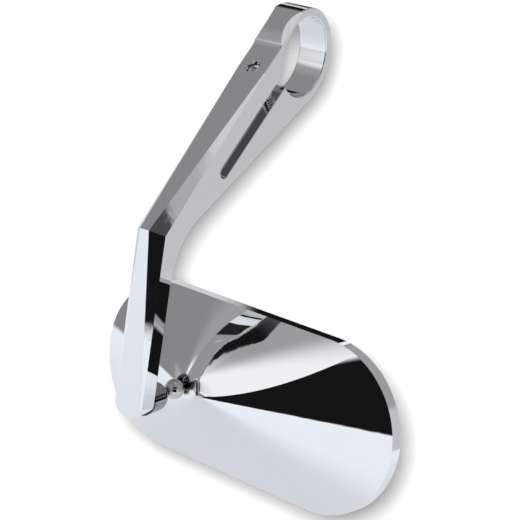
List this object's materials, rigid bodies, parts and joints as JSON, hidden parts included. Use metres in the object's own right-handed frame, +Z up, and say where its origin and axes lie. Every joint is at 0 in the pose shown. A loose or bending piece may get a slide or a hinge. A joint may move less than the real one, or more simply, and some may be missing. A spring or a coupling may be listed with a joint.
{
  "type": "motorcycle bar end mirror",
  "caption": "Motorcycle bar end mirror: faceted chrome arm with a split bar clamp, a ball stud and a cone-backed obround head that holds a convex glass.",
  "frame": {"origin": "centre of the bar clamp's bore, midway along its width", "axes": "+Y along the handlebar towards the motorcycle, +Z up, +X to the rear, the way the glass faces"},
  "size_m": [0.072, 0.103, 0.1304],
  "materials": {
    "chrome": "bright chrome plating",
    "steel": "plain steel",
    "nylon": "natural nylon",
    "black_plastic": "moulded",
    "adhesive": "foam tape",
    "black_rubber": "satin",
    "mirror": "convex mirror"
  },
  "bodies": {
    "arm": {"clamp_arm": "chrome", "clamp_screw": "steel", "lock_collar": "chrome", "ball_stud": "chrome"},
    "swivel": {"seat_cup": "nylon"},
    "tilt": {"seat_ring": "nylon"},
    "head": {"head_shell": "chrome", "pressure_plug": "nylon", "disc_spring": "steel", "retainer_plate": "steel", "retainer_screws": "steel", "glass_carrier": "black_plastic", "glass_pad": "adhesive", "mirror_glass": "mirror", "glass_seal": "black_rubber"}
  },
  "joints": [
    {"name": "head_swivel", "type": "hinge", "parent": "arm", "child": "swivel", "pos_m": [-0.0253, 0, -0.0905], "axis": [0, 0, 1], "range_deg": [-1, 16]},
    {"name": "head_tilt", "type": "hinge", "parent": "swivel", "child": "tilt", "pos_m": [-0.0253, 0, -0.0905], "axis": [0, 1, 0], "range_deg": [-8, 8]},
    {"name": "head_turn", "type": "hinge", "parent": "tilt", "child": "head", "pos_m": [-0.0253, 0, -0.0905], "axis": [0.9912, -0.1323, 0], "range_deg": [-30, 30]}
  ]
}
